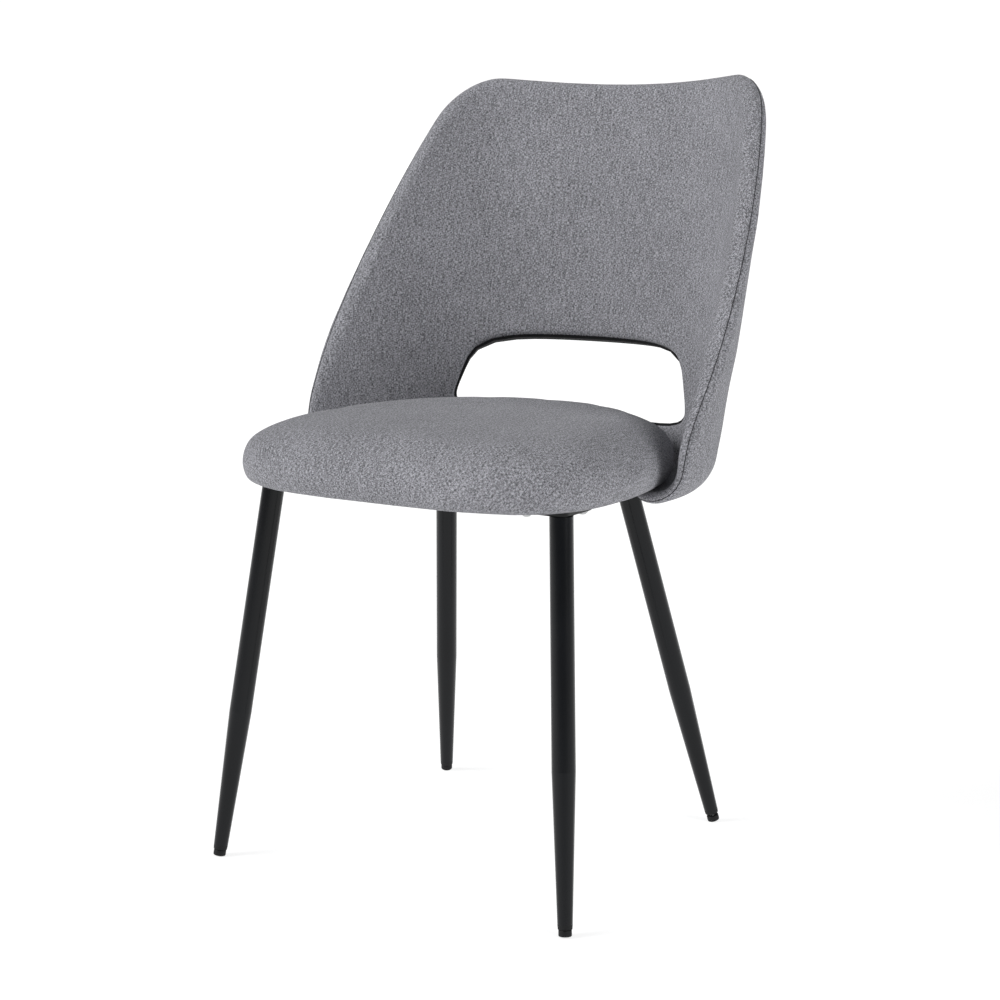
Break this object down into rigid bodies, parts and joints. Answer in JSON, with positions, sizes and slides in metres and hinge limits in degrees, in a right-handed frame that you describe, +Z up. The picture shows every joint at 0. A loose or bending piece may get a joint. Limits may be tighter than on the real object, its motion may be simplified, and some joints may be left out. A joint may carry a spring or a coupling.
{
  "type": "dining chair",
  "caption": "Upholstered dining chair with a wrap-around shell back, an opening above the seat, splayed tapered steel legs and screw-in levelling glides.",
  "frame": {"origin": "on the floor, under the middle of the chair's overall width and depth", "axes": "+Z up, the sitter faces -Y, +X is at the sitter's left hand"},
  "size_m": [0.5328, 0.5812, 0.8777],
  "materials": {
    "woven_grey": "woven melange",
    "foam": "open cell",
    "felt": "non-woven",
    "plywood": "raw",
    "black_coat": "satin powder coat",
    "zinc": "zinc plated",
    "black_plastic": "matte",
    "edging": "woven tape"
  },
  "bodies": {
    "chair": {"seat_board": "plywood", "seat_foam": "foam", "seat_cover": "woven_grey", "dust_cover": "felt", "back_core": "plywood", "back_foam_front_left": "foam", "back_foam_front_right": "foam", "back_foam_rear": "foam", "back_cover_front": "woven_grey", "back_cover_rear": "woven_grey", "opening_trim": "edging", "front_left_leg": "black_coat", "front_right_leg": "black_coat", "rear_left_leg": "black_coat", "rear_right_leg": "black_coat", "front_left_plate": "black_coat", "front_right_plate": "black_coat", "rear_left_plate": "black_coat", "rear_right_plate": "black_coat", "front_left_plug": "black_plastic", "front_right_plug": "black_plastic", "rear_left_plug": "black_plastic", "rear_right_plug": "black_plastic", "leg_bolts": "zinc", "leg_washers": "zinc", "leg_tee_nuts": "zinc", "back_bolts": "zinc", "back_washers": "zinc", "back_tee_nuts": "zinc", "staples": "zinc"},
    "front_left_stud": {"front_left_stud": "zinc"},
    "front_left_glide": {"front_left_glide": "black_plastic"},
    "front_right_stud": {"front_right_stud": "zinc"},
    "front_right_glide": {"front_right_glide": "black_plastic"},
    "rear_left_stud": {"rear_left_stud": "zinc"},
    "rear_left_glide": {"rear_left_glide": "black_plastic"},
    "rear_right_stud": {"rear_right_stud": "zinc"},
    "rear_right_glide": {"rear_right_glide": "black_plastic"}
  },
  "joints": [
    {"name": "front_left_travel", "type": "slide", "parent": "chair", "child": "front_left_stud", "axis": [0.0979, -0.1373, -0.9857], "range_m": [0, 0.008]},
    {"name": "front_left_screw", "type": "hinge", "parent": "front_left_stud", "child": "front_left_glide", "pos_m": [0.2285, -0.2621, 0.001], "axis": [0.0979, -0.1373, -0.9857], "range_deg": [-1, 2881]},
    {"name": "front_right_travel", "type": "slide", "parent": "chair", "child": "front_right_stud", "axis": [-0.0979, -0.1373, -0.9857], "range_m": [0, 0.008]},
    {"name": "front_right_screw", "type": "hinge", "parent": "front_right_stud", "child": "front_right_glide", "pos_m": [-0.2285, -0.2621, 0.001], "axis": [-0.0979, -0.1373, -0.9857], "range_deg": [-1, 2881]},
    {"name": "rear_left_travel", "type": "slide", "parent": "chair", "child": "rear_left_stud", "axis": [0.1595, 0.2314, -0.9597], "range_m": [-0.0026, 0.0054]},
    {"name": "rear_left_screw", "type": "hinge", "parent": "rear_left_stud", "child": "rear_left_glide", "pos_m": [0.19192, 0.14816, 0.00168], "axis": [0.1595, 0.2314, -0.9597], "range_deg": [-937, 1945]},
    {"name": "rear_right_travel", "type": "slide", "parent": "chair", "child": "rear_right_stud", "axis": [-0.1595, 0.2314, -0.9597], "range_m": [0, 0.008]},
    {"name": "rear_right_screw", "type": "hinge", "parent": "rear_right_stud", "child": "rear_right_glide", "pos_m": [-0.19192, 0.14816, 0.00168], "axis": [-0.1595, 0.2314, -0.9597], "range_deg": [-1, 2881]}
  ],
  "couplings": [
    {"joint": "front_left_screw", "follows": "front_left_travel", "rad_per_m": 6283.2},
    {"joint": "front_right_screw", "follows": "front_right_travel", "rad_per_m": 6283.2},
    {"joint": "rear_left_screw", "follows": "rear_left_travel", "rad_per_m": 6283.2},
    {"joint": "rear_right_screw", "follows": "rear_right_travel", "rad_per_m": 6283.2}
  ]
}
